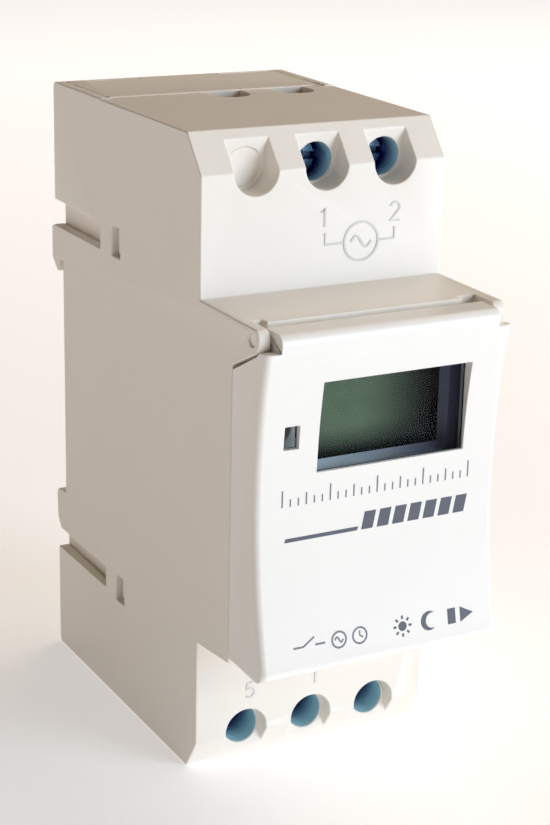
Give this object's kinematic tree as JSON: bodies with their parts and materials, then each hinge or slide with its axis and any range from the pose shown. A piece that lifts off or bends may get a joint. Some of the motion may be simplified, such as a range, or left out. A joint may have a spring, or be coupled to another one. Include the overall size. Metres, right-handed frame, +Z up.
{
  "type": "din rail timer",
  "caption": "Two-module digital time switch for a 35 mm rail, with a hinged front cover over the display and keys, and screw terminals at both ends.",
  "frame": {"origin": "centre of the face that lies against the rail's lips", "axes": "+X to the right seen from the front, +Y back towards the rail, +Z up"},
  "size_m": [0.036, 0.0657, 0.086],
  "materials": {
    "case_cream": "fine moulded texture",
    "base_cream": "fine moulded texture",
    "cover_white": "satin moulded",
    "panel_grey": "satin moulded",
    "key_grey": "satin moulded",
    "clear_lens": "clear moulded plastic",
    "lcd": "polarised display glass",
    "lcd_frame": "satin moulded",
    "rubber_dark": "silicone rubber",
    "rubber_mat": "silicone rubber",
    "board_green": "solder mask",
    "epoxy_black": "moulded epoxy",
    "led_red": "diffused LED resin",
    "tinned": "tinned metal",
    "link_cream": "nylon and tinned pins",
    "relay_blue": "moulded",
    "film_yellow": "epoxy filled box",
    "sleeve_dark": "shrink sleeve",
    "varistor_blue": "epoxy dip",
    "resistor_tan": "lacquer",
    "battery_green": "shrink sleeve",
    "brass": "pressed sheet",
    "copper_bar": "tinned copper alloy",
    "zinc_blue": "blue zinc plate",
    "zinc": "zinc plate",
    "spring_steel": "drawn wire",
    "clip_grey": "glass filled nylon"
  },
  "bodies": {
    "case": {"front_housing": "case_cream", "rear_base": "base_cream", "key_panel": "panel_grey", "lcd_frame": "lcd_frame", "lcd_glass": "lcd", "contact_strips": "rubber_dark", "display_board": "board_green", "key_mat": "rubber_mat", "indicator_led": "led_red", "microcontroller": "epoxy_black", "clock_crystal": "tinned", "board_link": "link_cream", "power_board": "board_green", "relay": "relay_blue", "relay_coil_diode": "epoxy_black", "dropper_capacitor": "film_yellow", "smoothing_capacitor": "sleeve_dark", "bridge_rectifier": "epoxy_black", "surge_varistor": "varistor_blue", "inrush_resistor": "resistor_tan", "backup_battery": "battery_green", "battery_clip": "brass", "terminal_bars": "copper_bar", "clip_spring": "spring_steel"},
    "cover": {"hinged_cover": "cover_white", "window_lens": "clear_lens", "indicator_lens": "clear_lens"},
    "clock_key": {"clock_key": "key_grey"},
    "program_key": {"program_key": "key_grey"},
    "mode_key": {"mode_key": "key_grey"},
    "clear_key": {"clear_key": "key_grey"},
    "day_key": {"day_key": "key_grey"},
    "hour_key": {"hour_key": "key_grey"},
    "minute_key": {"minute_key": "key_grey"},
    "reset_pin": {"reset_pin": "key_grey"},
    "rail_clip": {"rail_clip": "clip_grey"},
    "screw_1": {"screw_1": "zinc_blue"},
    "clamp_1": {"clamp_1": "zinc"},
    "screw_2": {"screw_2": "zinc_blue"},
    "clamp_2": {"clamp_2": "zinc"},
    "screw_3": {"screw_3": "zinc_blue"},
    "clamp_3": {"clamp_3": "zinc"},
    "screw_4": {"screw_4": "zinc_blue"},
    "clamp_4": {"clamp_4": "zinc"},
    "screw_5": {"screw_5": "zinc_blue"},
    "clamp_5": {"clamp_5": "zinc"}
  },
  "joints": [
    {"name": "cover_hinge", "type": "hinge", "parent": "case", "child": "cover", "pos_m": [0, -0.0577, 0.0212], "axis": [-1, 0, 0], "range_deg": [0, 100]},
    {"name": "clock_key_press", "type": "slide", "parent": "case", "child": "clock_key", "axis": [0, 1, 0], "range_m": [0, 0.0006], "stiffness_N_per_m": 600, "springref_m": -0.0005},
    {"name": "program_key_press", "type": "slide", "parent": "case", "child": "program_key", "axis": [0, 1, 0], "range_m": [0, 0.0006], "stiffness_N_per_m": 600, "springref_m": -0.0005},
    {"name": "mode_key_press", "type": "slide", "parent": "case", "child": "mode_key", "axis": [0, 1, 0], "range_m": [0, 0.0006], "stiffness_N_per_m": 600, "springref_m": -0.0005},
    {"name": "clear_key_press", "type": "slide", "parent": "case", "child": "clear_key", "axis": [0, 1, 0], "range_m": [0, 0.0006], "stiffness_N_per_m": 600, "springref_m": -0.0005},
    {"name": "day_key_press", "type": "slide", "parent": "case", "child": "day_key", "axis": [0, 1, 0], "range_m": [0, 0.0006], "stiffness_N_per_m": 600, "springref_m": -0.0005},
    {"name": "hour_key_press", "type": "slide", "parent": "case", "child": "hour_key", "axis": [0, 1, 0], "range_m": [0, 0.0006], "stiffness_N_per_m": 600, "springref_m": -0.0005},
    {"name": "minute_key_press", "type": "slide", "parent": "case", "child": "minute_key", "axis": [0, 1, 0], "range_m": [0, 0.0006], "stiffness_N_per_m": 600, "springref_m": -0.0005},
    {"name": "reset_pin_press", "type": "slide", "parent": "case", "child": "reset_pin", "axis": [0, 1, 0], "range_m": [0, 0.0006], "stiffness_N_per_m": 600, "springref_m": -0.0005},
    {"name": "rail_clip_slide", "type": "slide", "parent": "case", "child": "rail_clip", "axis": [0, 0, -1], "range_m": [0, 0.003], "stiffness_N_per_m": 1500, "springref_m": -0.002, "deforming": ["clip_spring"]},
    {"name": "screw_1_turn", "type": "hinge", "parent": "case", "child": "screw_1", "pos_m": [0.0001, -0.03, 0.0381], "axis": [0, 1, 0], "range_deg": [0, 2520]},
    {"name": "clamp_1_rise", "type": "slide", "parent": "case", "child": "clamp_1", "axis": [0, -1, 0], "range_m": [0, 0.0042]},
    {"name": "screw_2_turn", "type": "hinge", "parent": "case", "child": "screw_2", "pos_m": [0.01005, -0.03, 0.0381], "axis": [0, 1, 0], "range_deg": [0, 2520]},
    {"name": "clamp_2_rise", "type": "slide", "parent": "case", "child": "clamp_2", "axis": [0, -1, 0], "range_m": [0, 0.0042]},
    {"name": "screw_3_turn", "type": "hinge", "parent": "case", "child": "screw_3", "pos_m": [-0.00985, -0.03, -0.0381], "axis": [0, 1, 0], "range_deg": [0, 2520]},
    {"name": "clamp_3_rise", "type": "slide", "parent": "case", "child": "clamp_3", "axis": [0, -1, 0], "range_m": [0, 0.0042]},
    {"name": "screw_4_turn", "type": "hinge", "parent": "case", "child": "screw_4", "pos_m": [0.0001, -0.03, -0.0381], "axis": [0, 1, 0], "range_deg": [0, 2520]},
    {"name": "clamp_4_rise", "type": "slide", "parent": "case", "child": "clamp_4", "axis": [0, -1, 0], "range_m": [0, 0.0042]},
    {"name": "screw_5_turn", "type": "hinge", "parent": "case", "child": "screw_5", "pos_m": [0.01005, -0.03, -0.0381], "axis": [0, 1, 0], "range_deg": [0, 2520]},
    {"name": "clamp_5_rise", "type": "slide", "parent": "case", "child": "clamp_5", "axis": [0, -1, 0], "range_m": [0, 0.0042]}
  ],
  "couplings": [
    {"joint": "screw_1_turn", "follows": "clamp_1_rise", "rad_per_m": 10471},
    {"joint": "screw_2_turn", "follows": "clamp_2_rise", "rad_per_m": 10471},
    {"joint": "screw_3_turn", "follows": "clamp_3_rise", "rad_per_m": 10471},
    {"joint": "screw_4_turn", "follows": "clamp_4_rise", "rad_per_m": 10471},
    {"joint": "screw_5_turn", "follows": "clamp_5_rise", "rad_per_m": 10471}
  ]
}
